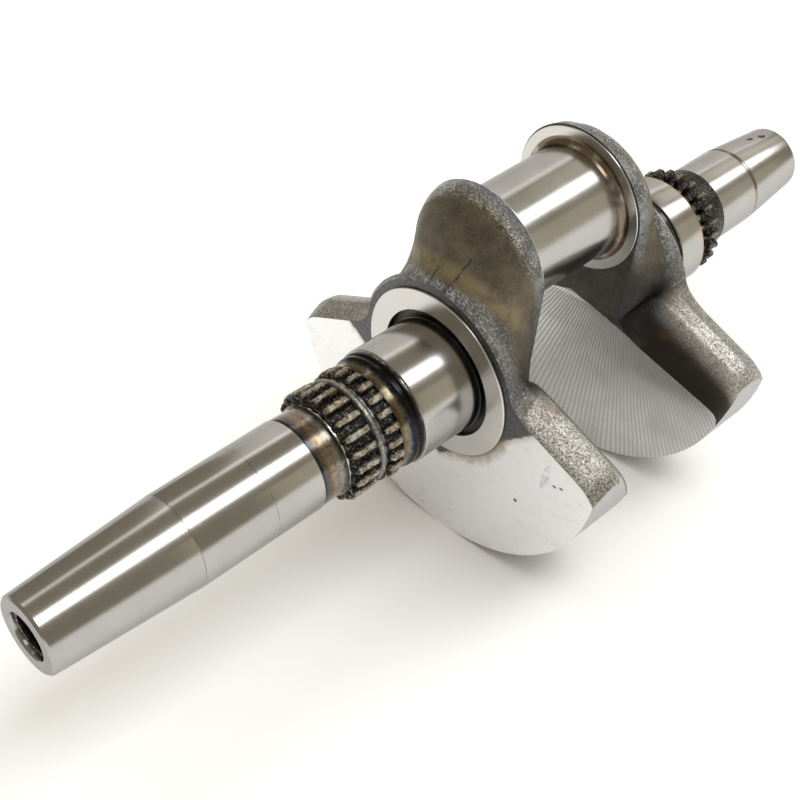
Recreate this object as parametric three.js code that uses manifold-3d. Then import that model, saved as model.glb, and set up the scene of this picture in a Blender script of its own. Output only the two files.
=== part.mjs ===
// One-throw crankshaft for a small V-twin engine.
// Millimetres. The shaft turns about Y, the drive (PTO) end points to -Y and the
// flywheel (magneto) end to +Y, the crankpin stands above the axis (+Z).
// The origin is on the turning axis, in the middle of the flywheel end face.
import * as THREE from "three";
import { mergeVertices } from "three/addons/utils/BufferGeometryUtils.js";
import Module from "manifold-3d";

const wasm = await Module();
wasm.setup();

// ---- driving dimensions -------------------------------------------------
const SEG = 48; // facets round a turned diameter
const THROW = 36.25; // axis to crankpin centre, so the stroke is 72.5
const R_JOURNAL = 21; // both main journals, diameter 42
const R_PIN = 20.5; // crankpin, diameter 41
const PIN_FILLET = 2.6; // blend between the crankpin and each cheek
const R_CHEEK = 26.6; // ground face round the crankpin
const R_THRUST = 31.7; // ground thrust face round each main journal
const R_GROOVE = 23.9; // outer edge of the recess in the thrust face
const R_GROOVE_FLOOR = 20.2; // neck at the bottom of that recess
const R_RIM = 71.4; // turned rim of both counterweights
const MAG_LEAN = 0.8; // the flywheel-side lobe leans less than the drive-side one

// stations along the shaft, drive end to flywheel end
const Y_PTO_END = -348;
const Y_PTO_TAPER = -295.9;
const Y_PTO_SEAL = -248.9;
const Y_NECK = -238.4;
const Y_WIDE_TEETH = -228;
const Y_COLLAR = -224.4;
const Y_NARROW_TEETH = -218.2;
const Y_RELIEF = -210.2;
const Y_PTO_THRUST = -186;
const Y_PTO_WEB = -185;
const Y_PTO_CHEEK = -162.9;
const Y_PIN_A = -162.1;
const Y_PIN_B = -116.6;
const Y_MAG_CHEEK = -115.8;
const Y_MAG_WEB = -95.8;
const Y_MAG_THRUST = -92.8;
const Y_MAG_ROOT = -80.6; // the black neck ends and the journal starts
const Y_MAG_JOURNAL = -68.5;
const Y_MAG_RELIEF = -62.8;
const Y_MAG_TEETH = -57.6;
const Y_MAG_NECK = -49.6;
const Y_MAG_SEAL = -29.8;
const Y_MAG_GROOVE = -28.4;
const Y_MAG_END = 0;

const R_PTO_SMALL = 13.45; // drive taper at the end face
const R_PTO_SEAL = 16.2;
const R_BORE = 7.1; // blind bolt bore in the drive end
const R_BORE_MOUTH = 8.2;
const BORE_DEPTH = 34;
const R_MAG_SEAL = 15.2;
const R_MAG_SMALL = 12.45; // flywheel taper at the end face

// Sections of a web, from the flat inner face (u = 0) out to the flat outer face (u = 1).
// lobe: radius round the crankpin end, lobeZ: its centre, hub: radius round the axis,
// flat: height of the shoulder at x = 60, fall: its slope, heel: where the flank blends out,
// lean: how far the drafted lobe runs out of centre towards +X.
const WEB_SECTIONS = [
  { u: 0, lobe: 27.1, lobeZ: 36.25, hub: 21, flat: -21.6, fall: 0.3, heel: 3, lean: 0 },
  { u: 0.12, lobe: 27, lobeZ: 36.1, hub: 23.5, flat: -15, fall: 0.42, heel: 9, lean: 0.6 },
  { u: 0.28, lobe: 26.2, lobeZ: 35.6, hub: 27, flat: -9.8, fall: 0.46, heel: 13, lean: 1.5 },
  { u: 0.44, lobe: 24.2, lobeZ: 34.2, hub: 30, flat: -5.4, fall: 0.44, heel: 15, lean: 2 },
  { u: 0.62, lobe: 21, lobeZ: 30.5, hub: 32.8, flat: -4.8, fall: 0.44, heel: 15, lean: 1.5 },
  { u: 0.78, lobe: 17.5, lobeZ: 26, hub: 34.8, flat: -6, fall: 0.44, heel: 14, lean: 0.8 },
  { u: 0.94, lobe: 15, lobeZ: 22.8, hub: 35.6, flat: -7.8, fall: 0.44, heel: 12, lean: 0 },
  { u: 1, lobe: 14, lobeZ: 21.5, hub: 34.4, flat: -8.8, fall: 0.44, heel: 10, lean: 0 },
];
const SHOULDER_X = 60; // where `flat` gives the height of a shoulder
const CORNER_X = 61.5; // where a shoulder starts to round over into the rim
const CORNER_TIP_X = 67.5; // control point of that rounding
const TOE_REACH = 12; // width of the hollow between the hub and a shoulder
const LEAN_FROM_Z = 12; // the lean starts here and is full one LEAN_SPAN higher
const LEAN_SPAN = 24;
const RIM_FACETS = 14; // facets of a rim from its shoulder to its lowest one
const HUB_POINT_Z = -25; // middle of the fans that close the faces of a cheek
const SPLIT_Z = -4; // level where a counterweight joins its web
const RECESS_DEPTH = 1.6; // of the ring-shaped recess round the root of a journal

// ---- colours ------------------------------------------------------------
const GROUND = { color: 0xc9c8c4, roughness: 0.16, metalness: 1 };
const SATIN = { color: 0xb9b8b5, roughness: 0.42, metalness: 1 };
const FORGED = { color: 0x55524c, roughness: 0.62, metalness: 0.85 };
const TINTED = { color: 0x6f5536, roughness: 0.3, metalness: 1 };
const HARDENED = { color: 0x2b2927, roughness: 0.5, metalness: 0.9 };

const crankshaft = new THREE.Group();
crankshaft.name = "crankshaft";

// ---- helpers ------------------------------------------------------------
function solidFrom(geometry) {
  let g = geometry.clone();
  g.deleteAttribute("normal");
  g.deleteAttribute("uv");
  g = mergeVertices(g, 1e-4);
  return new wasm.Manifold(
    new wasm.Mesh({
      numProp: 3,
      vertProperties: new Float32Array(g.attributes.position.array),
      triVerts: new Uint32Array(g.index.array),
    }),
  );
}

function geometryFrom(solid) {
  const m = solid.getMesh();
  const at = new Float32Array(m.numVert * 3);
  for (let i = 0; i < m.numVert; i++)
    for (let k = 0; k < 3; k++) at[3 * i + k] = m.vertProperties[i * m.numProp + k];
  const g = new THREE.BufferGeometry();
  g.setAttribute("position", new THREE.BufferAttribute(at, 3));
  g.setIndex(new THREE.BufferAttribute(new Uint32Array(m.triVerts), 1));
  g.computeVertexNormals();
  return g;
}

function add(name, geometry, look) {
  const mesh = new THREE.Mesh(geometry, new THREE.MeshStandardMaterial(look));
  mesh.name = name;
  crankshaft.add(mesh);
}

// Faces of a lathe or loft turned to point outwards.
function outward(geometry) {
  const p = geometry.attributes.position;
  const ix = geometry.index;
  const [a, b, c] = [new THREE.Vector3(), new THREE.Vector3(), new THREE.Vector3()];
  let volume = 0;
  for (let i = 0; i < ix.count; i += 3) {
    a.fromBufferAttribute(p, ix.getX(i));
    b.fromBufferAttribute(p, ix.getX(i + 1));
    c.fromBufferAttribute(p, ix.getX(i + 2));
    volume += a.dot(b.cross(c));
  }
  if (volume < 0)
    for (let i = 0; i < ix.count; i += 3) {
      const k = ix.getX(i + 1);
      ix.setX(i + 1, ix.getX(i + 2));
      ix.setX(i + 2, k);
    }
  return geometry;
}

// A turned piece: [radius, y] pairs that start and end on the axis, or close on themselves.
function turned(profile, lift = 0) {
  const points = profile.map(([r, y]) => new THREE.Vector2(r, y));
  return outward(new THREE.LatheGeometry(points, SEG).translate(0, 0, lift));
}

// A round bar between two stations, with each corner chamfered by c.
function bar(r, y0, y1, c = 0, lift = 0) {
  const edge = c ? [[r - c, y0], [r, y0 + c], [r, y1 - c], [r - c, y1]] : [[r, y0], [r, y1]];
  return turned([[0, y0], ...edge, [0, y1]], lift);
}

// A closed skin over rings of equal length, capped with fans round hub points on the XZ plane.
function loft(rings, centre) {
  const n = rings[0].points.length;
  const at = [];
  for (const { y, points } of rings) for (const [x, z] of points) at.push(x, y, z);
  const first = at.length / 3;
  const [y0, y1] = [rings[0].y, rings[rings.length - 1].y];
  at.push(centre[0], y0, centre[1], centre[0], y1, centre[1]);
  const index = [];
  for (let k = 0; k + 1 < rings.length; k++)
    for (let i = 0; i < n; i++) {
      const [a, b] = [k * n + i, k * n + ((i + 1) % n)];
      index.push(a, b, a + n, b, b + n, a + n);
    }
  const last = (rings.length - 1) * n;
  for (let i = 0; i < n; i++) {
    const j = (i + 1) % n;
    index.push(first, j, i, first + 1, last + i, last + j);
  }
  const g = new THREE.BufferGeometry();
  g.setAttribute("position", new THREE.Float32BufferAttribute(at, 3));
  g.setIndex(index);
  return outward(g);
}

// ---- webs and counterweights -------------------------------------------
const polar = (r, angle, z = 0) => [r * Math.cos(angle), z + r * Math.sin(angle)];

function bend(a, c, b, steps) {
  const curve = new THREE.QuadraticBezierCurve(
    new THREE.Vector2(...a), new THREE.Vector2(...c), new THREE.Vector2(...b));
  return curve.getPoints(steps).map((p) => [p.x, p.y]);
}

// Right half of one section, from the top of the lobe round to the lowest facet of the rim.
function halfOutline({ lobe, lobeZ, hub, flat, fall, heel }) {
  const tilt = Math.asin((hub - lobe) / lobeZ);
  const half = [];
  const arc = (r, z, from, to, steps) => {
    for (let i = 0; i <= steps; i++) half.push(polar(r, from + ((to - from) * i) / steps, z));
  };
  arc(lobe, lobeZ, Math.PI / 2, tilt, 12);
  const heelAngle = Math.min(tilt, Math.asin(heel / hub)) - 0.02;
  arc(hub, 0, tilt - 0.01, heelAngle, 7);
  const shoulder = (x) => flat + fall * (SHOULDER_X - x);
  const [hx] = polar(hub, heelAngle);
  const toe = hx + TOE_REACH;
  half.push(...bend(half[half.length - 1], [hx + 0.4, shoulder(hx + 0.4)],
    [toe, shoulder(toe)], 5).slice(1));
  // the shoulder runs out to the rim and rounds over into it
  const below = Math.asin((shoulder(CORNER_X) - 7) / R_RIM);
  const tip = [CORNER_TIP_X, shoulder(CORNER_TIP_X)];
  half.push(...bend([CORNER_X, shoulder(CORNER_X)], tip, polar(R_RIM, below), 5));
  // the rim stops half a facet short of its lowest point, so a flat facet lies there
  const rimSpan = below - 0.05 + Math.PI / 2;
  arc(R_RIM, 0, below - 0.05, -Math.PI / 2 + rimSpan / (2 * RIM_FACETS + 1), RIM_FACETS);
  return half;
}

function section(spec, lean) {
  const half = halfOutline(spec);
  const mirrored = half.slice(1).reverse().map(([x, z]) => [-x, z]);
  const share = (z) => Math.min(1, Math.max(0, (z - LEAN_FROM_Z) / LEAN_SPAN));
  const drift = (z) => lean * spec.lean * share(z);
  return [...half, ...mirrored].map(([x, z]) => [x + drift(z), z]);
}

// The whole cheek from its inner face at yIn to its outer face at yOut.
function cheekSolid(yIn, yOut, lean) {
  const rings = WEB_SECTIONS.map((s) => ({ y: yIn + (yOut - yIn) * s.u, points: section(s, lean) }));
  return solidFrom(loft(rings, [0, HUB_POINT_Z]));
}

function box(x0, x1, y0, y1, z0, z1) {
  const g = new THREE.BoxGeometry(x1 - x0, y1 - y0, z1 - z0);
  return solidFrom(g.translate((x0 + x1) / 2, (y0 + y1) / 2, (z0 + z1) / 2));
}

// Ring-shaped recess in the outer face, at the root of the main journal.
function recess(yFace, yFloor) {
  const path = [[R_GROOVE_FLOOR, yFace], [R_GROOVE, yFace], [R_GROOVE, yFloor],
    [R_GROOVE_FLOOR, yFloor], [R_GROOVE_FLOOR, yFace]];
  return solidFrom(turned(path));
}

function addCheek(side, yIn, yOut, out, lean) {
  const floor = yOut - RECESS_DEPTH * out;
  const whole = cheekSolid(yIn, yOut, lean).subtract(recess(yOut + out, floor));
  const [low, high] = [Math.min(yIn, yOut) - 5, Math.max(yIn, yOut) + 5];
  const upper = whole.intersect(box(-90, 90, low, high, SPLIT_Z, 90));
  const lower = whole.intersect(box(-90, 90, low, high, -90, SPLIT_Z));
  add(side + "_web", geometryFrom(upper), FORGED);
  add(side + "_counterweight", geometryFrom(lower), SATIN);
}

// ---- toothed rings ------------------------------------------------------
// One ring of points for a toothed wheel: each tooth has a root, two flanks and a top land.
function teeth(count, root, tip, top, phase) {
  const points = [];
  const pitch = (2 * Math.PI) / count;
  const marks = [[-0.5, root], [-0.3, root], [-top / 2, tip], [top / 2, tip], [0.3, root]];
  for (let i = 0; i < count; i++)
    for (const [f, r] of marks) {
      const a = phase + (i + f) * pitch;
      points.push([r * Math.cos(a), r * Math.sin(a)]);
    }
  return points;
}

// A toothed wheel whose tooth ends are bevelled down by `bevel`.
function toothedWheel(y0, y1, count, root, tip, top, bevel, phase) {
  const low = teeth(count, root, tip - bevel, top, phase);
  const full = teeth(count, root, tip, top, phase);
  return loft([
    { y: y0, points: low },
    { y: y0 + bevel * 0.7, points: full },
    { y: y1 - bevel * 0.7, points: full },
    { y: y1, points: low },
  ], [0, 0]);
}

// ---- drive side ---------------------------------------------------------
function addDriveSide() {
  const mouth = R_BORE_MOUTH - R_BORE;
  add("pto_taper", turned([
    [R_BORE_MOUTH, Y_PTO_END], [R_PTO_SMALL - 0.9, Y_PTO_END],
    [R_PTO_SMALL, Y_PTO_END + 0.9], [R_PTO_SEAL - 0.05, Y_PTO_TAPER],
    [0, Y_PTO_TAPER], [0, Y_PTO_END + BORE_DEPTH + 4],
    [R_BORE, Y_PTO_END + BORE_DEPTH], [R_BORE, Y_PTO_END + 1.2 * mouth],
    [R_BORE_MOUTH, Y_PTO_END],
  ]), GROUND);
  add("pto_seal_journal", bar(R_PTO_SEAL, Y_PTO_TAPER, Y_PTO_SEAL, 0.25), GROUND);
  add("pto_neck", turned([
    [0, Y_PTO_SEAL], [R_PTO_SEAL - 0.5, Y_PTO_SEAL], [R_PTO_SEAL - 0.3, Y_PTO_SEAL + 1],
    [R_PTO_SEAL - 0.3, Y_NECK - 1.6], [R_PTO_SEAL + 0.3, Y_NECK - 1],
    [R_PTO_SEAL + 0.3, Y_NECK], [0, Y_NECK],
  ]), TINTED);
  add("pto_timing_sprocket",
    toothedWheel(Y_NECK, Y_WIDE_TEETH, 21, 16.9, 19.7, 0.34, 0.9, 0.1), HARDENED);
  add("pto_collar", turned([
    [0, Y_WIDE_TEETH], [17.6, Y_WIDE_TEETH], [18.9, Y_WIDE_TEETH + 0.6],
    [18.9, Y_COLLAR - 1.6], [18, Y_COLLAR - 1.1], [18, Y_COLLAR], [0, Y_COLLAR],
  ]), HARDENED);
  add("pto_pump_gear",
    toothedWheel(Y_COLLAR, Y_NARROW_TEETH, 23, 17.5, 20.2, 0.36, 0.9, 0.2), HARDENED);
  add("pto_relief_neck", turned([
    [0, Y_NARROW_TEETH], [18.3, Y_NARROW_TEETH], [18.9, Y_NARROW_TEETH + 2.6],
    [19.3, Y_NARROW_TEETH + 3.4], [20.3, Y_RELIEF - 3.6], [20.3, Y_RELIEF - 2.2],
    [19.9, Y_RELIEF - 1.7], [20.5, Y_RELIEF - 0.4], [20.5, Y_RELIEF], [0, Y_RELIEF],
  ]), TINTED);
  add("pto_main_journal", bar(R_JOURNAL, Y_RELIEF, Y_PTO_THRUST - 0.3, 0.35), GROUND);
  add("pto_undercut", bar(R_GROOVE_FLOOR, Y_PTO_THRUST - 0.3, Y_PTO_WEB), HARDENED);
  add("pto_thrust_ring", thrustRing(Y_PTO_THRUST, Y_PTO_WEB), GROUND);
}

function thrustRing(yFace, yBack) {
  const c = 0.25 * Math.sign(yBack - yFace);
  return turned([
    [R_GROOVE, yFace], [R_THRUST - 0.25, yFace], [R_THRUST, yFace + c],
    [R_THRUST, yBack], [R_GROOVE, yBack], [R_GROOVE, yFace],
  ]);
}

// ---- crank throw --------------------------------------------------------
function addThrow() {
  const root = R_PIN + PIN_FILLET;
  const ring = (y0, y1) => turned(
    [[root, y0], [R_CHEEK, y0], [R_CHEEK, y1], [root, y1], [root, y0]], THROW);
  add("pto_cheek_ring", ring(Y_PTO_CHEEK, Y_PIN_A), GROUND);
  add("mag_cheek_ring", ring(Y_PIN_B, Y_MAG_CHEEK), GROUND);
  const profile = [[0, Y_PTO_CHEEK], [root, Y_PTO_CHEEK]];
  for (let i = 0; i <= 4; i++) {
    const a = (i / 4) * (Math.PI / 2);
    profile.push([R_PIN + PIN_FILLET * (1 - Math.sin(a)),
      Y_PIN_A + PIN_FILLET * (1 - Math.cos(a))]);
  }
  for (let i = 4; i >= 0; i--) {
    const a = (i / 4) * (Math.PI / 2);
    profile.push([R_PIN + PIN_FILLET * (1 - Math.sin(a)),
      Y_PIN_B - PIN_FILLET * (1 - Math.cos(a))]);
  }
  profile.push([root, Y_MAG_CHEEK], [0, Y_MAG_CHEEK]);
  add("crankpin", turned(profile, THROW), GROUND);
}

// ---- flywheel side ------------------------------------------------------
function addFlywheelSide() {
  add("mag_thrust_ring", thrustRing(Y_MAG_THRUST, Y_MAG_WEB), GROUND);
  add("mag_undercut", bar(R_GROOVE_FLOOR, Y_MAG_WEB, Y_MAG_ROOT), HARDENED);
  add("mag_main_journal", bar(R_JOURNAL, Y_MAG_ROOT, Y_MAG_JOURNAL, 0.35), GROUND);
  add("mag_relief_neck", turned([
    [0, Y_MAG_JOURNAL], [20.4, Y_MAG_JOURNAL], [19.2, Y_MAG_JOURNAL + 1.2],
    [17.4, Y_MAG_RELIEF - 1], [17.4, Y_MAG_RELIEF], [0, Y_MAG_RELIEF],
  ]), TINTED);
  add("mag_timing_sprocket",
    toothedWheel(Y_MAG_RELIEF, Y_MAG_TEETH, 23, 17, 20.2, 0.26, 1.1, 0.13), HARDENED);
  add("mag_neck", turned([
    [0, Y_MAG_TEETH], [16.2, Y_MAG_TEETH], [15.9, Y_MAG_NECK - 1.4],
    [15.6, Y_MAG_NECK], [0, Y_MAG_NECK],
  ]), HARDENED);
  add("mag_seal_journal", bar(R_MAG_SEAL, Y_MAG_NECK, Y_MAG_SEAL, 0.25), GROUND);
  add("mag_relief_groove", turned([
    [0, Y_MAG_SEAL], [R_MAG_SEAL - 0.3, Y_MAG_SEAL], [R_MAG_SEAL - 0.9, Y_MAG_SEAL + 0.6],
    [R_MAG_SEAL - 0.9, Y_MAG_GROOVE - 0.5], [R_MAG_SEAL - 0.3, Y_MAG_GROOVE],
    [0, Y_MAG_GROOVE],
  ]), HARDENED);
  add("mag_taper", turned([
    [0, Y_MAG_GROOVE], [R_MAG_SEAL - 0.1, Y_MAG_GROOVE], [R_MAG_SMALL + 0.1, Y_MAG_END - 1.4],
    [R_MAG_SMALL - 0.4, Y_MAG_END - 0.4], [R_MAG_SMALL - 1.4, Y_MAG_END], [0, Y_MAG_END],
  ]), GROUND);
}

addDriveSide();
addCheek("pto", Y_PTO_CHEEK, Y_PTO_WEB, -1, 1);
addThrow();
addCheek("mag", Y_MAG_CHEEK, Y_MAG_WEB, 1, MAG_LEAN);
addFlywheelSide();

export default crankshaft;
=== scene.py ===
"""Looks of a one-throw crankshaft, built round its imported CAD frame.

The shaft turns about Y. Its drive (PTO) end points to -Y, its flywheel end to +Y, and
the crankpin stands above the axis. Shapes are drawn in millimetres and made in metres.
"""
import math

import bmesh
import bpy
from mathutils import Matrix, Vector, noise


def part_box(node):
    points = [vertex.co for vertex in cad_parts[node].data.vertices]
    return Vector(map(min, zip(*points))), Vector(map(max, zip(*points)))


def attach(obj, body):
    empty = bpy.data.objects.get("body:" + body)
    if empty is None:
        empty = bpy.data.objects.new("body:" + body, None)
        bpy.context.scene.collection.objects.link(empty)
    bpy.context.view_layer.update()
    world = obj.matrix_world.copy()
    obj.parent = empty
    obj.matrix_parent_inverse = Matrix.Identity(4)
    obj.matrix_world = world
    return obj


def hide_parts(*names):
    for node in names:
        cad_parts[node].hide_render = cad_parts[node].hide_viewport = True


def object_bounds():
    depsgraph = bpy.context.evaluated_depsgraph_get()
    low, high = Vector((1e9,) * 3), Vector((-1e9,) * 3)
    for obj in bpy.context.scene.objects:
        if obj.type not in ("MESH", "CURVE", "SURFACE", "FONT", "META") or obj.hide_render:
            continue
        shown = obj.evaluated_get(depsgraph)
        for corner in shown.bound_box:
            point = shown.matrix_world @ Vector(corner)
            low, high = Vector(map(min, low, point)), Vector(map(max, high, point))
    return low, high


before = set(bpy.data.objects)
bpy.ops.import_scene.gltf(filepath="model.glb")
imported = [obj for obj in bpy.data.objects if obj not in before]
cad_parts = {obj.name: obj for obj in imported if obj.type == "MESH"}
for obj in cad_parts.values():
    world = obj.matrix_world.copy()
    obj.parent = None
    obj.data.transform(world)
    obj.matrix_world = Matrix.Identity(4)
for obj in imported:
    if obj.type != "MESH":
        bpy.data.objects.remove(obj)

cad_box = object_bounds()
MM = 0.001
AROUND = 240  # steps round a turned surface
PIN_BOX_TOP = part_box("crankpin")[1] / MM
THROW = PIN_BOX_TOP.z - PIN_BOX_TOP.x  # height of the crankpin's axis above the shaft's

# radii and depths in mm that a node's box does not tell
BORE, BORE_MOUTH, BORE_DEPTH = 7.1, 8.2, 34.0
THREAD_PITCH, THREAD_DEPTH = 1.5, 0.85
DRIVE_SMALL_END, FLYWHEEL_SMALL_END = 13.45, 12.45
GROOVE_FLOOR, GROOVE_EDGE, THRUST_EDGE, CHEEK_EDGE = 20.0, 23.9, 31.7, 26.6
PIN_RADIUS, PIN_FILLET = 20.5, 2.6
GRINDING_LINE_Y = -267.7


# ---- node trees ---------------------------------------------------------
class Value:
    """A socket of a node tree that takes part in arithmetic."""

    def __init__(self, tree, socket):
        self.tree, self.socket = tree, socket

    def _op(self, operation, *terms):
        return self.tree.node("ShaderNodeMath", {"operation": operation}, dict(enumerate(terms)))

    def __add__(self, other):
        return self._op("ADD", self, other)

    __radd__ = __add__

    def __sub__(self, other):
        return self._op("SUBTRACT", self, other)

    def __rsub__(self, other):
        return self._op("SUBTRACT", other, self)

    def __mul__(self, other):
        return self._op("MULTIPLY", self, other)

    __rmul__ = __mul__

    def __truediv__(self, other):
        return self._op("DIVIDE", self, other)

    def __pow__(self, other):
        return self._op("POWER", self, other)

    def abs(self):
        return self._op("ABSOLUTE", self)

    def sin(self):
        return self._op("SINE", self)

    def least(self, other):
        return self._op("MINIMUM", self, other)

    def most(self, other):
        return self._op("MAXIMUM", self, other)

    def rise(self, start, end):
        """0 below start, 1 above end, and smooth between them. start may be the larger one."""
        settings = {"interpolation_type": "SMOOTHSTEP"}
        if start > end:
            return 1 - self.rise(end, start)
        return self.tree.node("ShaderNodeMapRange", settings, {0: self, 1: start, 2: end})

    def band(self, start, end, blur):
        """1 from start to end, falling to 0 over blur on each side."""
        return self.rise(start - blur, start) * self.rise(end + blur, end)

    def out(self, name):
        return Value(self.tree, self.socket.node.outputs[name])


class Tree:
    """A node tree with one method that makes any node."""

    def __init__(self, tree):
        self.tree = tree

    def node(self, kind, settings=None, sockets=None, out=0):
        made = self.tree.nodes.new(kind)
        for key, value in (settings or {}).items():
            if key == "stops":
                self.set_stops(made.color_ramp, value)
            else:
                setattr(made, key, value)
        for key, value in (sockets or {}).items():
            if isinstance(value, Value):
                self.tree.links.new(value.socket, made.inputs[key])
            else:
                made.inputs[key].default_value = value
        return Value(self, made.outputs[out]) if made.outputs else made

    @staticmethod
    def set_stops(ramp, stops):
        while len(ramp.elements) < len(stops):
            ramp.elements.new(1)
        for element, (at, colour) in zip(ramp.elements, stops):
            element.position = at
            element.color = (*colour, 1)


class Surface(Tree):
    """A metal's shader tree, with the coordinates and mixes that its pattern needs."""

    def __init__(self, name, roughness=0.3, metallic=1.0, coat=0.0):
        self.material = bpy.data.materials.new(name)
        self.material.use_nodes = True
        super().__init__(self.material.node_tree)
        self.shader = self.tree.nodes["Principled BSDF"]
        self.set("Metallic", metallic)
        self.set("Roughness", roughness)
        self.set("Coat Weight", coat)
        self.place = self.node("ShaderNodeTexCoord", out="Object")
        self.mm = self.node("ShaderNodeVectorMath", {"operation": "SCALE"},
                            {0: self.place, "Scale": 1 / MM})
        self.x = self.node("ShaderNodeSeparateXYZ", None, {0: self.mm})
        self.y, self.z = self.x.out("Y"), self.x.out("Z")

    def set(self, name, value):
        if isinstance(value, Value):
            self.tree.links.new(value.socket, self.shader.inputs[name])
        else:
            self.shader.inputs[name].default_value = value

    def vector(self, x, y, z):
        return self.node("ShaderNodeCombineXYZ", None, {0: x, 1: y, 2: z})

    def radius(self, lift=0.0):
        height = self.z - lift
        return (self.x * self.x + height * height) ** 0.5

    def noise(self, scale, detail=3.0, stretch=(1, 1, 1), rough=0.55, offset=0.0):
        at = self.vector(self.x * stretch[0] + offset, self.y * stretch[1], self.z * stretch[2])
        sockets = {"Vector": at, "Scale": scale, "Detail": detail, "Roughness": rough}
        return self.node("ShaderNodeTexNoise", None, sockets)

    def mix(self, share, a, b):
        """Colour a where share is 0 and colour b where it is 1."""
        pick = {0: share, 6: a if isinstance(a, Value) else (*a, 1),
                7: b if isinstance(b, Value) else (*b, 1)}
        return self.node("ShaderNodeMix", {"data_type": "RGBA"}, pick, out=2)

    def ramp(self, share, stops):
        return self.node("ShaderNodeValToRGB", {"stops": stops}, {0: share})

    def bump(self, height, depth, strength=1.0):
        """Relief of depth millimetres where height goes from 0 to 1."""
        sockets = {"Height": height, "Distance": depth * MM, "Strength": strength}
        if self.shader.inputs["Normal"].is_linked:
            sockets["Normal"] = Value(self, self.shader.inputs["Normal"].links[0].from_socket)
        self.set("Normal", self.node("ShaderNodeBump", None, sockets))


# ---- finishes -----------------------------------------------------------
STEEL = (0.46, 0.453, 0.44)
BLACKENED = (0.028, 0.027, 0.026)


def ground_steel(name, roughness=0.15, tone=STEEL):
    """Cylindrically ground steel: fine lay round the axis, faint clouding and a few nicks."""
    s = Surface(name)
    s.set("Specular Tint", (0.66, 0.66, 0.67, 1))
    lay = s.noise(1.0, 3, (0.012, 2.4, 0.012))
    cloud = s.noise(0.07, 3)
    nicks = s.noise(0.9, 2, offset=40).rise(0.76, 0.82)
    shade = (cloud * 0.6 + lay * 0.4).rise(0.3, 0.7)
    dull = tuple(0.9 * part for part in tone)
    s.set("Base Color", s.mix(nicks * 0.6, s.mix(shade, dull, tone), (0.2, 0.19, 0.18)))
    s.set("Roughness", roughness + lay * 0.05 + cloud * 0.05)
    s.bump(lay, 0.0016, 0.6)
    return s


def stained_pin_steel(name, end_y):
    """Ground steel with a brown heat stain by the fillet at end_y."""
    s = ground_steel(name, 0.16)
    base = Value(s, s.shader.inputs["Base Color"].links[0].from_socket)
    stain = s.y.rise(end_y - 8, end_y - 2) * s.noise(0.12, 3, offset=52).rise(0.34, 0.54)
    s.set("Base Color", s.mix(stain * 0.85, base, (0.17, 0.115, 0.062)))
    return s


COPPER_EDGE = 1.1  # width of the copper-coloured ring, with its soft side


def copper_edged_steel(name, end_y):
    """Ground steel with a thin copper-coloured ring at its edge at end_y."""
    s = ground_steel(name, 0.15)
    base = Value(s, s.shader.inputs["Base Color"].links[0].from_socket)
    edge = s.y.rise(end_y - COPPER_EDGE, end_y - COPPER_EDGE + 0.5)
    s.set("Base Color", s.mix(edge * 0.9, base, (0.5, 0.24, 0.12)))
    return s


def seal_journal_steel(name, line_y):
    """Ground steel with the faint line where two grinding passes meet."""
    s = ground_steel(name, 0.13)
    line = (s.y - line_y).abs().rise(0.35, 0.05) * s.noise(0.2, 2, offset=9).rise(0.3, 0.6)
    base = Value(s, s.shader.inputs["Base Color"].links[0].from_socket)
    s.set("Base Color", s.mix(line * 0.6, base, (0.16, 0.15, 0.14)))
    s.bump(1 - line, 0.02)
    return s


def taper_steel(name, bore_radius, face_y):
    """Ground steel with painted shade deep in the bolt bore."""
    s = ground_steel(name, 0.14)
    base = Value(s, s.shader.inputs["Base Color"].links[0].from_socket)
    # painted shade: the wall of the bolt bore is darkened
    inside = s.radius().rise(bore_radius + 0.3, bore_radius - 0.1) * s.y.rise(face_y, face_y + 3)
    s.set("Base Color", s.mix(inside, base, (0.05, 0.045, 0.04)))
    return s


MARK_LENGTH = 1.7


def marked_taper_steel(name, marks):
    """Ground steel with shallow marks of no meaning, given as (y, x, half width)."""
    s = ground_steel(name, 0.17)
    base = Value(s, s.shader.inputs["Base Color"].links[0].from_socket)
    pits = 0.0
    for y, x, wide in marks:
        across = (s.x - x) / wide
        along = (s.y - y) / MARK_LENGTH
        spot = ((across * across + along * along) ** 0.5 + s.noise(0.8, 2) * 0.7).rise(1.35, 1.0)
        pits = spot * s.z.rise(0, 5) + pits
    s.set("Base Color", s.mix(pits, base, (0.1, 0.095, 0.09)))
    s.bump(1 - pits, 0.25)
    return s


def tempered_steel(name, y0, y1, stops, roughness=0.15, lip=None):
    """Turned steel whose tempering colours follow the shaft from y0 to y1, up to a bright lip."""
    s = Surface(name)
    mottle = s.noise(0.5, 4, rough=0.65) - 0.5
    lines = s.noise(1.0, 3, (0.05, 5.0, 0.05))
    along = (s.y - y0) / (y1 - y0) + mottle * 0.3
    colour = s.ramp(along, stops)
    patch = s.noise(0.8, 3, offset=7).rise(0.5, 0.68)
    colour = s.mix(patch * 0.5, colour, (0.06, 0.048, 0.036))
    if lip is not None:
        colour = s.mix(s.y.rise(lip, lip + 0.2), colour, (0.5, 0.49, 0.48))
    s.set("Base Color", colour)
    s.set("Roughness", roughness + lines * 0.1)
    s.bump(lines, 0.01, 0.7)
    return s


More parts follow.
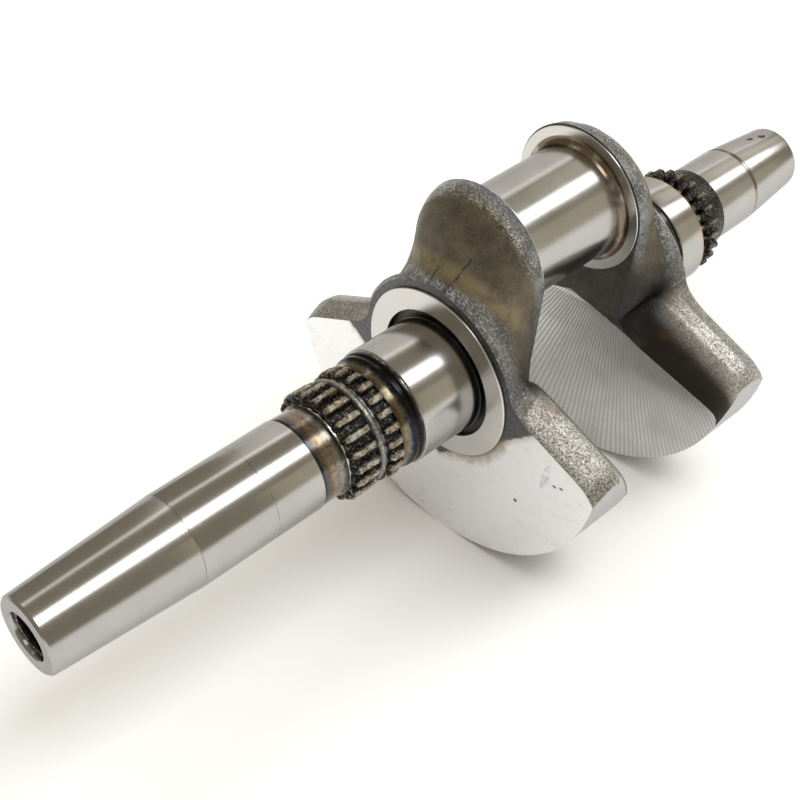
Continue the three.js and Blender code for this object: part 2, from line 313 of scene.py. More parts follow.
def hardened_steel(name, tip, lightest):
    """Blackened cut teeth of tip radius tip, whose worn tops are tan and of a second, lighter
    colour.
    """
    s = Surface(name)
    worn = s.noise(0.9, 5, rough=0.7) - 0.5
    top = (s.radius() + worn * 4.2).rise(tip - 1.3, tip - 0.1)
    grain = s.noise(1.6, 3)
    tan = s.mix(s.noise(0.4, 2, offset=11).rise(0.4, 0.6), (0.34, 0.27, 0.18), lightest)
    chips = s.noise(1.1, 4, rough=0.7, offset=27)
    dark = s.mix(chips.rise(0.5, 0.66), BLACKENED, (0.3, 0.285, 0.25))
    s.set("Base Color", s.mix(top * chips.rise(0.34, 0.5) * 0.92, dark, tan))
    s.set("Roughness", 0.4 - top * 0.14 + grain * 0.12)
    s.bump(chips, 0.5, 0.9)
    s.bump(grain, 0.16, 0.9)
    return s


def gritty_steel(name, base, spark, y_line=None):
    """Scaly turned skin with bright grains and fine lines."""
    s = Surface(name)
    grain = s.noise(1.3, 4)
    cell = s.node("ShaderNodeTexVoronoi", None, {"Vector": s.mm, "Scale": 1.1})
    bright = grain.rise(0.45, 0.66) * cell.rise(0.05, 0.5)
    s.set("Base Color", s.mix(bright, base, spark))
    s.set("Roughness", 0.42 - bright * 0.12)
    s.bump(grain, 0.16)
    if y_line is not None:
        s.bump(((s.y - y_line) * 4.5).sin(), 0.05, 0.6)
    return s


def black_recess(name):
    """Glossy black scale in the undercuts."""
    s = Surface(name, 0.2, 0.6, 0.6)
    cloud = s.noise(0.5, 3)
    s.set("Base Color", s.mix(cloud, (0.008, 0.008, 0.009), (0.035, 0.033, 0.032)))
    s.set("Roughness", 0.16 + cloud * 0.16)
    return s


def crease(s, start, end):
    """Distance in mm from a wandering line across the shaft, from start to end as (x, z)."""
    (x0, z0), (x1, z1) = start, end
    run, climb = x1 - x0, z1 - z0
    length = math.hypot(run, climb)
    ahead = (((s.x - x0) * run + (s.z - z0) * climb) / length ** 2).most(0.0).least(1.0)
    aside, above = s.x - x0 - ahead * run, s.z - z0 - ahead * climb
    wander = (s.noise(0.3, 2, offset=71) - 0.5) * 1.6
    return ((aside + wander) * (aside + wander) + above * above) ** 0.5


LAP_WIDTH = 0.24


def creases(s, lines):
    """1 in the middle of any of these broken lines, 0 away from them."""
    nearest = crease(s, *lines[0])
    for line in lines[1:]:
        nearest = nearest.least(crease(s, *line))
    broken = s.noise(0.35, 3, offset=12).rise(0.3, 0.55)
    return nearest.rise(LAP_WIDTH * 2.4, LAP_WIDTH * 0.4) * broken


CREST_HIGHLIGHT_SHARE = 0.8  # how far the painted highlight on a shoulder follows its crest, not its patches
HUB_SKIN = (31, 36.5)  # radii of the crinkled skin round a hub
FOOT_SKIN = (39.5, 41.5)  # radii of the olive band at the foot of a lobe


def forged_skin(name, inner, outer, shine, lightest, laps=()):
    """Forged skin: smooth olive brown on the lobe, crinkled round the hub, bright on the shoulders.

    inner and outer are the y of the cheek's two faces, shine how bright its shoulders are,
    then two depths and a blur place a painted highlight along their crests, and laps the lines
    of the forging laps over its lobe.
    """
    s = Surface(name, metallic=0.85)
    depth = (s.y - inner) / (outer - inner)
    patch = s.noise(0.16, 4, offset=17)
    cloud = s.noise(0.07, 3, offset=83)
    grain = s.noise(1.5, 4, rough=0.72)
    crinkle = s.noise(0.75, 3, (1, 1, 0.75), rough=0.55, offset=61)
    speck = grain.rise(0.42, 0.64)
    umber = s.mix(patch.rise(0.3, 0.7), (0.09, 0.077, 0.055), (0.155, 0.135, 0.098))
    umber = s.mix(speck * 0.4, umber, (0.25, 0.225, 0.175))
    foot = s.radius().band(*FOOT_SKIN, 4) * s.z.rise(2, 12) * depth.rise(0.3, 0.6)
    mottled = cloud.rise(0.35, 0.65) * 0.4 + patch.rise(0.35, 0.6) * 0.6
    umber = s.mix(foot * mottled, umber, (0.285, 0.24, 0.15))
    slate = s.mix(patch.rise(0.4, 0.65), (0.1, 0.105, 0.112), (0.23, 0.235, 0.245))
    lobe_edge = depth.rise(0.26, 0.08) * s.z.rise(12, 26)
    colour = s.mix(lobe_edge, umber, slate)
    hub = s.radius().band(*HUB_SKIN, 2.5) * depth.rise(0.55, 0.8)
    roll = depth.band(0.12, 0.26, 0.1) * s.z.rise(38, 52)
    wrinkled = (hub + lobe_edge * 0.6 + roll).least(1.0)
    ridges = (crinkle - 0.5).abs().rise(0.045, 0.004)
    ridges = ridges * s.noise(0.3, 2, offset=44).rise(0.35, 0.6)
    colour = s.mix(hub * 0.8, colour, s.mix(patch, (0.075, 0.077, 0.083), (0.25, 0.257, 0.27)))
    # painted highlights: light colour on the crinkle ridges
    colour = s.mix(wrinkled * ridges * 0.95, colour, (0.72, 0.74, 0.76))
    shadowed = depth.rise(0.14, 0.0) * s.z.rise(30, 18)
    colour = s.mix(shadowed * 0.8, colour, (0.06, 0.056, 0.05))
    shoulder = s.z.rise(8, 0) * s.x.abs().rise(29, 38)
    lit_from = lightest[0]
    crest = shoulder * depth.rise(lit_from - 0.06, lit_from + 0.1)
    # painted shade: the lower sides of the hub, down into the hollow before each shoulder, are
    # darkened
    flank = s.z.rise(22, 8) * s.x.abs().rise(40, 31) * (1 - hub * 0.4)
    colour = s.mix(flank * 0.85, colour, (0.048, 0.049, 0.052))
    # painted shade: the slope of each shoulder below its crest, on the inner side, is darkened
    underside_shade = depth.rise(lit_from + 0.08, lit_from - 0.1)
    colour = s.mix(shoulder * underside_shade * 0.85, colour, (0.035, 0.032, 0.027))
    # painted highlight: each shoulder is lightened along its crest, most in the band of depths
    # given
    bright = tuple(shine * part for part in (0.66, 0.655, 0.64))
    dull = tuple(shine * part for part in (0.3, 0.29, 0.265))
    crest_highlight = (depth.band(*lightest) * CREST_HIGHLIGHT_SHARE + patch * (1 - CREST_HIGHLIGHT_SHARE)).least(1.0)
    colour = s.mix(crest * 0.92, colour, s.mix(crest_highlight, dull, bright))
    # painted glints: light and dark specks on the lit crests and crinkles
    lit = (crest * 0.8 + wrinkled * 0.2).least(1.0)
    colour = s.mix(speck * lit * shine, colour, (0.86, 0.85, 0.83))
    colour = s.mix(grain.rise(0.47, 0.36) * lit * 0.85, colour, (0.06, 0.055, 0.045))
    rust = s.noise(0.16, 3, offset=31).rise(0.56, 0.68) * s.z.rise(8, 0)
    rust = rust * s.x.abs().band(30, 44, 6)
    colour = s.mix(rust * 0.45, colour, (0.2, 0.1, 0.05))
    rough = 0.42 + patch * 0.1 - wrinkled * 0.18 - crest * 0.08
    s.bump(patch, 0.35, 0.7)
    s.bump((crinkle + ridges * 0.3) * (wrinkled * 0.92 + 0.08), 1.1)
    if laps:
        lap = creases(s, laps) * depth.rise(0.15, 0.3)
        colour = s.mix(lap * 0.7, colour, (0.035, 0.03, 0.024))
        s.bump(1 - lap, 0.4)
    s.set("Base Color", colour)
    s.set("Roughness", rough)
    s.bump(grain, 0.1, 0.9)
    return s


# the turned part of an outer face ends on a line that rises outwards from this point
TURNED_TOP, TURNED_TOP_X, TURNED_SLOPE = 13.3, 29.0, 0.81


def satin_face(name, stained):
    """Turned outer face of a counterweight: satin, with scuffs, and forged skin at its top.

    The stained one also has a heat stain round its boss, a smear of ink and small dents.
    """
    s = Surface(name)
    cloud = s.noise(0.3, 3)
    turning = s.node("ShaderNodeTexNoise", {"noise_dimensions": "1D"},
                     {"W": s.radius(), "Scale": 2.2, "Detail": 3.0})
    scuff = s.noise(0.12, 5, (1, 1, 2.2), rough=0.7).rise(0.56, 0.7)
    colour = s.mix(cloud, (0.85, 0.855, 0.865), (0.93, 0.935, 0.945))
    colour = s.mix(scuff * 0.22, colour, (0.55, 0.53, 0.49))
    if stained:
        boss = s.radius()
        below = ((s.x * 0.72 - s.z * 0.7) / boss).rise(0.25, 0.8)
        ragged = (s.noise(0.35, 4, offset=3) - 0.4) * 5
        halo = (boss - ragged * below).rise(THRUST_EDGE + 4.7, THRUST_EDGE + 0.1)
        halo = halo * (below * 0.8 + 0.1)
        # darker in a narrow ring round the foot of the thrust ring
        ring_foot_dark = boss.rise(THRUST_EDGE + 1.3, THRUST_EDGE + 0.3)
        rim_side = s.noise(0.25, 4, offset=23).rise(0.55, 0.72) * boss.rise(54, 70)
        colour = s.mix(halo * 0.75, colour, s.mix(s.noise(0.8, 2, offset=90),
                                                  (0.42, 0.33, 0.17), (0.12, 0.09, 0.055)))
        colour = s.mix(ring_foot_dark * 0.5, colour, (0.1, 0.085, 0.065))
        colour = s.mix(rim_side * 0.22, colour, (0.5, 0.42, 0.28))
        colour = s.mix(ink_smear(s) * 0.7, colour, (0.12, 0.15, 0.42))
        colour = s.mix(small_dents(s), colour, (0.16, 0.15, 0.14))
    line = s.z + TURNED_TOP - (s.x.abs() - TURNED_TOP_X) * TURNED_SLOPE
    above = line + s.noise(0.3, 3) * 2.4 - 1.2
    skin = above.rise(-0.7, 0.7)
    tan = above.rise(-3.5, 0) * s.noise(0.6, 3, offset=8)
    colour = s.mix(tan * 0.7, colour, (0.3, 0.23, 0.12))
    forged = s.mix(s.noise(0.8, 4), (0.05, 0.05, 0.052), (0.17, 0.17, 0.175))
    colour = s.mix(skin, colour, forged)
    s.set("Base Color", colour)
    s.set("Roughness", 0.33 + scuff * 0.12 + turning * 0.06)
    s.bump(turning, 0.012, 0.7)
    s.bump(skin * (s.noise(0.6, 4) + 0.5), 0.5)
    return s


def spot(s, x, z, wide, high, slant=0.0):
    """A soft-edged ellipse on a face across the shaft."""
    across = (s.x - x - (s.z - z) * slant) / wide
    up = (s.z - z) / high
    return ((across * across + up * up) ** 0.5).rise(1.1, 0.8)


def ink_smear(s):
    """Workshop ink wiped over the face, with no letter or sign in it."""
    drag = s.node("ShaderNodeTexNoise", {"noise_dimensions": "1D"},
                  {"W": s.x - s.z * 0.3, "Scale": 1.4, "Detail": 1.0})
    streaks = drag.rise(0.35, 0.62) * s.noise(0.5, 3).rise(0.35, 0.6)
    return spot(s, 49.2, -16.0, 1.5, 6.2, 0.3) * streaks


def small_dents(s):
    return (spot(s, 53.4, -17.6, 0.9, 0.5) + spot(s, 56.3, -16.8, 0.9, 0.5)
            + spot(s, 36.3, -35.2, 0.8, 0.8)).least(1.0)


FAN = (20.0, 32.0)  # x and z that the cutter lines of a cheek's inner face fan out from
FAN_LINES = 270  # of them in a full turn
MILLED_TOP, MILLED_TOP_X, MILLED_SLOPE = -3.3, -1.5, 0.27  # a line that falls both ways


def milled_face(name):
    """Inner face of a cheek: a fan of cutter lines, below the forged skin left round the pin."""
    s = Surface(name)
    wave = s.noise(0.06, 2) * 0.02
    line = ((fan_angle(s) + wave) * FAN_LINES).sin() * 0.5 + 0.5
    strength = s.noise(0.09, 3, offset=13).rise(0.25, 0.6) * 0.75 + 0.25
    line_z = MILLED_TOP - (s.x - MILLED_TOP_X).abs() * MILLED_SLOPE
    top = line_z + (s.noise(0.25, 3) - 0.5) * 1.6
    skin = (s.z - top).rise(-0.25, 0.25)
    metal = s.mix(line * strength, (0.5, 0.5, 0.495), (0.78, 0.78, 0.775))
    metal = s.mix(s.noise(0.05, 3, offset=2) * 0.4, metal, (0.57, 0.565, 0.55))
    dark = s.mix(s.noise(0.3, 4), (0.05, 0.046, 0.042), (0.17, 0.16, 0.145))
    s.set("Base Color", s.mix(skin, metal, dark))
    s.set("Roughness", 0.34 + skin * 0.2)
    s.set("Metallic", 1 - skin * 0.15)
    s.bump(line * strength * (1 - skin), 0.055)
    s.bump(1 - skin, 0.4)
    return s


def fan_angle(s):
    sockets = {0: s.x - FAN[0], 1: FAN[1] - s.z}
    return s.node("ShaderNodeMath", {"operation": "ARCTAN2"}, sockets)


# ---- meshes -------------------------------------------------------------
def object_from(name, mesh, *surfaces):
    made = bpy.data.objects.new(name, mesh)
    bpy.context.scene.collection.objects.link(made)
    for surface in surfaces:
        mesh.materials.append(surface.material)
    return made


def smooth(mesh, angle=32):
    mesh.shade_smooth()
    mesh.set_sharp_from_angle(angle=math.radians(angle))


def finish_piece(piece, slot, *nodes):
    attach(piece, "root")
    if nodes:
        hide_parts(*nodes)
    return piece


def mesh_from(name, points, faces, picks=None):
    mesh = bpy.data.meshes.new(name)
    mesh.from_pydata([(x * MM, y * MM, z * MM) for x, y, z in points], [], faces)
    if picks:
        mesh.polygons.foreach_set("material_index", picks)
    bm = bmesh.new()
    bm.from_mesh(mesh)
    bmesh.ops.remove_doubles(bm, verts=bm.verts, dist=1e-7)
    bmesh.ops.recalc_face_normals(bm, faces=bm.faces)
    bm.to_mesh(mesh)
    bm.free()
    smooth(mesh)
    return mesh


def rounded(profile, radius, steps=3):
    """The same profile with each inside point replaced by a small round corner."""
    out = [profile[0]]
    for before, at, after in zip(profile, profile[1:], profile[2:]):
        a, b, c = Vector(before), Vector(at), Vector(after)
        reach = min(radius, (a - b).length * 0.4, (c - b).length * 0.4)
        start, end = b + (a - b).normalized() * reach, b + (c - b).normalized() * reach
        for i in range(steps + 1):
            t = i / steps
            out.append(tuple(start * (1 - t) ** 2 + b * 2 * t * (1 - t) + end * t * t))
    return out + [profile[-1]]


def turned(name, profile, surface, slot, node, lift=0.0, corner=0.25):
    """A piece turned from (radius, y) points that start and end on the axis, or close."""
    line = rounded(profile, corner)
    points, faces = [], []
    for i in range(AROUND):
        c, s = math.cos(2 * math.pi * i / AROUND), math.sin(2 * math.pi * i / AROUND)
        points += [(r * c, y, lift + r * s) for r, y in line]
    n = len(line)
    for i in range(AROUND):
        j = (i + 1) % AROUND
        for k in range(n - 1):
            ends = [i * n + k, j * n + k, j * n + k + 1, i * n + k + 1]
            if line[k][0] < 1e-9:
                ends.pop(1)
            elif line[k + 1][0] < 1e-9:
                ends.pop(2)
            faces.append(ends)
    mesh = mesh_from(name, points, faces)
    return finish_piece(object_from(name, mesh, surface), slot, node)


def span(node):
    """(y of the drive side, y of the flywheel side, radius) of a turned CAD node, in mm."""
    low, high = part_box(node)
    return low.y / MM, high.y / MM, high.x / MM


def bar_profile(node, chamfer=0.0):
    y0, y1, r = span(node)
    if not chamfer:
        return [(0, y0), (r, y0), (r, y1), (0, y1)]
    return [(0, y0), (r - chamfer, y0), (r, y0 + chamfer), (r, y1 - chamfer),
            (r - chamfer, y1), (0, y1)]


# ---- turned pieces of the drive end -------------------------------------
def make_drive_end():
    y0, y1, r = span("pto_taper")
    small = DRIVE_SMALL_END
    root = BORE + THREAD_DEPTH
    steel = taper_steel("taper_steel_drive", BORE_MOUTH, y0)
    turned("drive_taper", [
        (root, y0 + 1), (BORE_MOUTH + 0.2, y0), (small - 0.9, y0), (small, y0 + 0.9), (r, y1),
        (0, y1), (0, y0 + BORE_DEPTH + 4), (root, y0 + BORE_DEPTH), (root, y0 + 1),
    ], steel, "ground_steel", "pto_taper")
    make_thread(y0 + 1.2, BORE_DEPTH - 3)
    y0, y1, r = span("pto_seal_journal")
    steel = seal_journal_steel("seal_steel_drive", GRINDING_LINE_Y)
    turned("drive_seal_journal", [(0, y0), (r, y0), (r, y1 - 0.25), (r - 0.25, y1), (0, y1)],
           steel, "ground_steel", "pto_seal_journal")
    y0, y1, r = span("pto_neck")
    turned("drive_neck", [
        (0, y0), (r - 0.8, y0), (r - 0.6, y0 + 1), (r - 0.75, y1 - 1.8), (r, y1 - 1),
        (r, y1), (0, y1),
    ], tempered_steel("neck_colours", y0, y1, [
        (0.0, (0.04, 0.045, 0.055)), (0.12, (0.1, 0.1, 0.11)), (0.24, (0.16, 0.12, 0.09)),
        (0.42, (0.3, 0.235, 0.165)), (0.54, (0.22, 0.185, 0.155)), (0.7, (0.27, 0.26, 0.225)),
        (0.88, (0.05, 0.05, 0.052)),
    ], lip=y1 - 1.0), "heat_tinted_steel", "pto_neck")
    y0, y1, r = span("pto_collar")
    turned("drive_collar", [
        (0, y0), (r - 1.3, y0), (r, y0 + 0.6), (r, y1 - 1.6), (r - 0.9, y1 - 1.1),
        (r - 0.9, y1), (0, y1),
    ], gritty_steel("collar_scale", (0.2, 0.197, 0.19), (0.5, 0.485, 0.46)),
        "hardened_teeth", "pto_collar", corner=0.4)
    make_relief_neck()
    turned("drive_main_journal", bar_profile("pto_main_journal", 0.35),
           ground_steel("journal_steel_drive", 0.15), "ground_steel", "pto_main_journal")


def make_relief_neck():
    y0, y1, r = span("pto_relief_neck")
    turned("drive_relief_neck", [
        (0, y0), (r - 2.2, y0), (r - 1.6, y0 + 2.6), (r - 1.2, y0 + 3.4), (r - 0.2, y0 + 4.4),
        (r - 0.2, y0 + 5.4), (r - 0.9, y0 + 5.7), (r - 0.9, y0 + 6.3), (r, y0 + 6.8),
        (r, y1), (0, y1),
    ], tempered_steel("relief_colours", y0, y1, [
        (0.0, (0.05, 0.045, 0.04)), (0.12, (0.15, 0.12, 0.08)), (0.26, (0.24, 0.19, 0.105)),
        (0.36, (0.13, 0.15, 0.17)), (0.46, (0.025, 0.027, 0.035)), (0.75, (0.016, 0.016, 0.017)),
        (0.92, (0.03, 0.03, 0.03)), (1.0, (0.3, 0.3, 0.3)),
    ], 0.14), "heat_tinted_steel", "pto_relief_neck")


def undercut_profile(node, bead_y):
    """The neck in a recess, with one round bead that catches the light."""
    y0, y1, r = span(node)
    return [(0, y0), (r, y0), (r, bead_y - 0.35), (r + 0.9, bead_y - 0.1),
            (r + 0.9, bead_y + 0.2), (r, bead_y + 0.45), (r, y1), (0, y1)]


# ---- turned pieces of the throw and of the flywheel end ------------------
def ring_profile(node, inner, outer, chamfer):
    y0, y1, _ = span(node)
    return [(inner, y0), (outer - chamfer, y0), (outer, y0 + chamfer),
            (outer, y1 - chamfer), (outer - chamfer, y1), (inner, y1), (inner, y0)]


def make_throw(face_steel, scale):
    for side, end in (("pto", "drive"), ("mag", "flywheel")):
        turned(end + "_thrust_ring",
               ring_profile(side + "_thrust_ring", GROOVE_EDGE, THRUST_EDGE, 0.25),
               face_steel, "ground_steel", side + "_thrust_ring")
        y0, y1, _ = span(side + "_undercut")
        turned(end + "_undercut", undercut_profile(side + "_undercut", (y0 + y1) / 2),
               scale, "black_recess", side + "_undercut", corner=0.3)
        turned(end + "_cheek_ring",
               ring_profile(side + "_cheek_ring", PIN_RADIUS + PIN_FILLET, CHEEK_EDGE, 0.15),
               face_steel, "ground_steel", side + "_cheek_ring", lift=THROW)
    make_crankpin()


def make_crankpin():
    y0, y1, root = span("crankpin")
    inner = y0 + 0.8
    steps = 10
    arcs = [(PIN_RADIUS + PIN_FILLET * (1 - math.sin(a)), PIN_FILLET * (1 - math.cos(a)))
            for a in (math.pi / 2 * i / steps for i in range(steps + 1))]
    profile = [(0, y0), (root, y0)] + [(r, inner + d) for r, d in arcs]
    profile += [(r, y1 - 0.8 - d) for r, d in reversed(arcs)] + [(root, y1), (0, y1)]
    turned("crankpin_ground", profile, stained_pin_steel("crankpin_steel", y1),
           "ground_steel", "crankpin", lift=THROW, corner=0.05)


def make_flywheel_end():
    turned("flywheel_main_journal", bar_profile("mag_main_journal", 0.35),
           copper_edged_steel("journal_steel_flywheel", span("mag_main_journal")[1]),
           "ground_steel", "mag_main_journal")
    y0, y1, r = span("mag_relief_neck")
    turned("flywheel_relief_neck", [
        (0, y0), (r, y0), (r - 1.2, y0 + 1.2), (r - 3, y1 - 1), (r - 3, y1), (0, y1),
    ], tempered_steel("copper_edge", y0, y1, [
        (0.0, (0.66, 0.36, 0.22)), (0.2, (0.52, 0.3, 0.19)), (0.3, (0.06, 0.05, 0.045)),
        (0.42, (0.5, 0.49, 0.47)), (0.5, (0.05, 0.05, 0.05)), (1.0, (0.02, 0.02, 0.02)),
    ]), "heat_tinted_steel", "mag_relief_neck")
    y0, y1, r = span("mag_neck")
    turned("flywheel_neck", [
        (0, y0), (r, y0), (r - 0.3, y1 - 1.4), (r - 0.5, y1 - 1), (r - 0.45, y1 - 0.7),
        (r - 0.6, y1), (0, y1),
    ], gritty_steel("neck_scale", (0.03, 0.03, 0.028), (0.12, 0.118, 0.11), y1 - 0.5),
        "hardened_teeth", "mag_neck")
    turned("flywheel_seal_journal", bar_profile("mag_seal_journal", 0.25),
           ground_steel("seal_steel_flywheel", 0.17), "ground_steel", "mag_seal_journal")
    y0, y1, r = span("mag_relief_groove")
    turned("flywheel_relief_groove", [
        (0, y0), (r, y0), (r - 0.25, y0 + 0.6), (r - 0.25, y1 - 0.5), (r, y1), (0, y1),
    ], tempered_steel("groove_brown", y0, y1, [
        (0.0, (0.42, 0.4, 0.36)), (0.3, (0.3, 0.265, 0.2)), (0.7, (0.32, 0.285, 0.22)),
        (1.0, (0.44, 0.42, 0.39)),
    ]), "black_recess", "mag_relief_groove")
    y0, y1, r = span("mag_taper")
    small = FLYWHEEL_SMALL_END
    turned("flywheel_taper", [
        (0, y0), (r, y0), (small + 0.1, y1 - 1.4), (small - 0.4, y1 - 0.4), (small - 1.4, y1),
        (0, y1),
    ], marked_taper_steel("taper_steel_flywheel", [(-13.8, -1.3, 1.1), (-8.6, 0.4, 1.3)]),
        "ground_steel", "mag_taper", corner=0.5)


# ---- webs and counterweights --------------------------------------------
# Sections of a web, from its flat inner face (u 0) to its flat outer face (u 1): radius and
# height of the lobe, radius of the hub, height of the shoulder at SHOULDER_X, its slope,
# where the flank blends out, and how far the drafted lobe leans to +X.
WEB_SECTIONS = [
    (0.00, 27.1, 36.25, 21.0, -21.6, 0.30, 3, 0.0),
    (0.12, 27.0, 36.10, 23.5, -15.0, 0.42, 9, 0.6),
    (0.28, 26.2, 35.60, 27.0, -9.8, 0.46, 13, 1.5),
    (0.44, 24.2, 34.20, 30.0, -5.4, 0.44, 15, 2.0),
    (0.62, 21.0, 30.50, 32.8, -4.8, 0.44, 15, 1.5),
    (0.78, 17.5, 26.00, 34.8, -6.0, 0.44, 14, 0.8),
    (0.94, 15.0, 22.80, 35.6, -7.8, 0.44, 12, 0.0),
    (1.00, 14.0, 21.50, 34.4, -8.8, 0.44, 10, 0.0),
]
RIM = 71.4
SHOULDER_X, CORNER_X, CORNER_TIP_X = 60, 61.5, 67.5
CORNER_DROP = 7  # how far below the shoulder its rounded corner meets the rim
TOE_REACH = 12  # width of the hollow between the hub and a shoulder
LEAN_FROM_Z, LEAN_SPAN = 12, 24  # the lean starts here and is full one LEAN_SPAN higher
RECESS_DEPTH = 1.6
RINGS = 72
LOBE_STEPS, HUB_STEPS, TOE_STEPS = 44, 22, 22
FLANK_STEPS, CORNER_STEPS, RIM_STEPS = 12, 16, 56


def blended_section(u):
    """The section at u, on smooth curves through WEB_SECTIONS that keep each rise and fall."""
    k = max(i for i in range(len(WEB_SECTIONS) - 1) if WEB_SECTIONS[i][0] <= u + 1e-9)
    stations = [row[0] for row in WEB_SECTIONS]
    width = stations[k + 1] - stations[k]
    t = (u - stations[k]) / width

    def slope(i, column):
        if i in (0, len(stations) - 1):
            j = min(i, len(stations) - 2)
            return ((WEB_SECTIONS[j + 1][column] - WEB_SECTIONS[j][column])
                    / (stations[j + 1] - stations[j]))
        before = ((WEB_SECTIONS[i][column] - WEB_SECTIONS[i - 1][column])
                  / (stations[i] - stations[i - 1]))
        after = ((WEB_SECTIONS[i + 1][column] - WEB_SECTIONS[i][column])
                 / (stations[i + 1] - stations[i]))
        return 0.0 if before * after <= 0 else 2 * before * after / (before + after)

    out = []
    for column in range(1, 8):
        a, b = WEB_SECTIONS[k][column], WEB_SECTIONS[k + 1][column]
        m, n = slope(k, column) * width, slope(k + 1, column) * width
        out.append(a * (1 + 2 * t) * (1 - t) ** 2 + m * t * (1 - t) ** 2
                   + b * t * t * (3 - 2 * t) + n * t * t * (t - 1))
    return out


def polar(r, angle, z=0.0):
    return r * math.cos(angle), z + r * math.sin(angle)


def bend(a, c, b, steps):
    """Points after a on the curve from a to b that is pulled towards c."""
    out = []
    for i in range(1, steps + 1):
        t = i / steps
        out.append(tuple(a[k] * (1 - t) ** 2 + 2 * c[k] * t * (1 - t) + b[k] * t * t
                         for k in (0, 1)))
    return out


def half_outline(section):
    """Right half of a section, top of the lobe to the bottom of the rim, and where its rim is."""
    lobe, lobe_z, hub, flat, fall, heel, _ = section
    tilt = math.asin((hub - lobe) / lobe_z)
    half = []

    def arc(r, z, start, end, steps):
        half.extend(polar(r, start + (end - start) * i / steps, z) for i in range(steps + 1))

    def shoulder(x):
        return flat + fall * (SHOULDER_X - x)

    arc(lobe, lobe_z, math.pi / 2, tilt, LOBE_STEPS)
    heel_angle = min(tilt, math.asin(heel / hub)) - 0.02
    arc(hub, 0, tilt - 0.01, heel_angle, HUB_STEPS)
    hx = polar(hub, heel_angle)[0]
    toe = hx + TOE_REACH
    half.extend(bend(half[-1], (hx + 0.4, shoulder(hx + 0.4)), (toe, shoulder(toe)), TOE_STEPS))
    below = math.asin((shoulder(CORNER_X) - CORNER_DROP) / RIM)
    corner = (CORNER_X, shoulder(CORNER_X))
    middle = (toe + CORNER_X) / 2
    half.extend(bend(half[-1], (middle, shoulder(middle)), corner, FLANK_STEPS))
    tip = (CORNER_TIP_X, shoulder(CORNER_TIP_X))
    half.extend(bend(corner, tip, polar(RIM, below), CORNER_STEPS))
    rim_from = len(half)
    arc(RIM, 0, below - 0.01, -math.pi / 2, RIM_STEPS)
    return half, rim_from


def whole_outline(section, lean):
    half, rim_from = half_outline(section)
    mirrored = [(-x, z) for x, z in half[1:-1][::-1]]
    out = []
    for x, z in half + mirrored:
        share = min(1.0, max(0.0, (z - LEAN_FROM_Z) / LEAN_SPAN))
        out.append((x + lean * share, z))
    return out, rim_from, len(half)


def forge_texture(x, y, z):
    """How far the forged skin stands proud or shy there, in mm."""
    coarse = noise.noise(Vector((x, y, z)) * 0.16)
    fine = noise.noise(Vector((x + 50, y, z)) * 0.7)
    return 0.16 * coarse + 0.07 * fine


CREST_AT, CREST_SPREAD = 0.28, 0.12  # depth and spread of a lifted shoulder crest
EDGE_SHARE = 14  # the forging texture grows over one part in this many of the depth


def make_cheek(name, side, inner, outer, lean, lift, surfaces):
    """Web and counterweight as the one forging they are.

    lean scales the leaning of its lobe, lift raises the crest of its shoulders by so many
    millimetres, and surfaces are the skin, the outer face, the inner face and the rim.
    """
    points, faces, picks = [], [], []
    for k in range(RINGS + 1):
        u = k / RINGS
        section = blended_section(u)
        section[3] += lift * math.exp(-((u - CREST_AT) / CREST_SPREAD) ** 2)
        outline, rim_from, half_count = whole_outline(section, section[6] * lean)
        y = inner + (outer - inner) * u
        edge = min(1.0, min(u, 1 - u) * EDGE_SHARE)
        count = len(outline)
        for i, (x, z) in enumerate(outline):
            on_rim = rim_from <= i <= 2 * half_count - 2 - rim_from
            push = 0.0 if on_rim else (0.35 + 0.65 * edge) * forge_texture(x, y, z)
            reach = math.hypot(x, z)
            points.append((x * (1 + push / reach), y, z * (1 + push / reach)))
    for k in range(RINGS):
        for i in range(count):
            j = (i + 1) % count
            a, b = k * count + i, k * count + j
            faces.append((a, b, b + count, a + count))
            picks.append(3 if rim_from <= i < 2 * half_count - 2 - rim_from else 0)
    faces.append(tuple(range(count)))
    picks.append(2)
    out = math.copysign(1, outer - inner)
    add_outer_face(points, faces, picks, RINGS * count, count, outer, out)
    mesh = mesh_from(name, points, faces, picks)
    piece = object_from(name, mesh, *surfaces)
    return finish_piece(piece, "forged_skin", side + "_web", side + "_counterweight")


def add_outer_face(points, faces, picks, first, count, outer, out):
    """The flat outer face as a ring round the recess at the journal's root."""
    rows = [first]
    floor = outer - out * RECESS_DEPTH
    for r, y, pick in ((GROOVE_EDGE, outer, 1), (GROOVE_EDGE, floor, 0), (GROOVE_FLOOR, floor, 0)):
        start = len(points)
        for i in range(count):
            x, _, z = points[first + i]
            angle = math.atan2(z, x)
            points.append((r * math.cos(angle), y, r * math.sin(angle)))
        rows.append(start)
        for i in range(count):
            j = (i + 1) % count
            faces.append((rows[-2] + i, rows[-2] + j, start + j, start + i))
            picks.append(pick)
    faces.append(tuple(range(rows[-1], rows[-1] + count)))
    picks.append(0)


DRIVE_LEAN, FLYWHEEL_LEAN = 1.0, 0.8
FLYWHEEL_CREST = 2.8
# forging laps over the drive-side lobe, as (x, z) of their two ends
DRIVE_LAPS = [((9.5, 47.0), (-0.2, 26.2)), ((-1.2, 41.0), (-4.7, 30.0))]


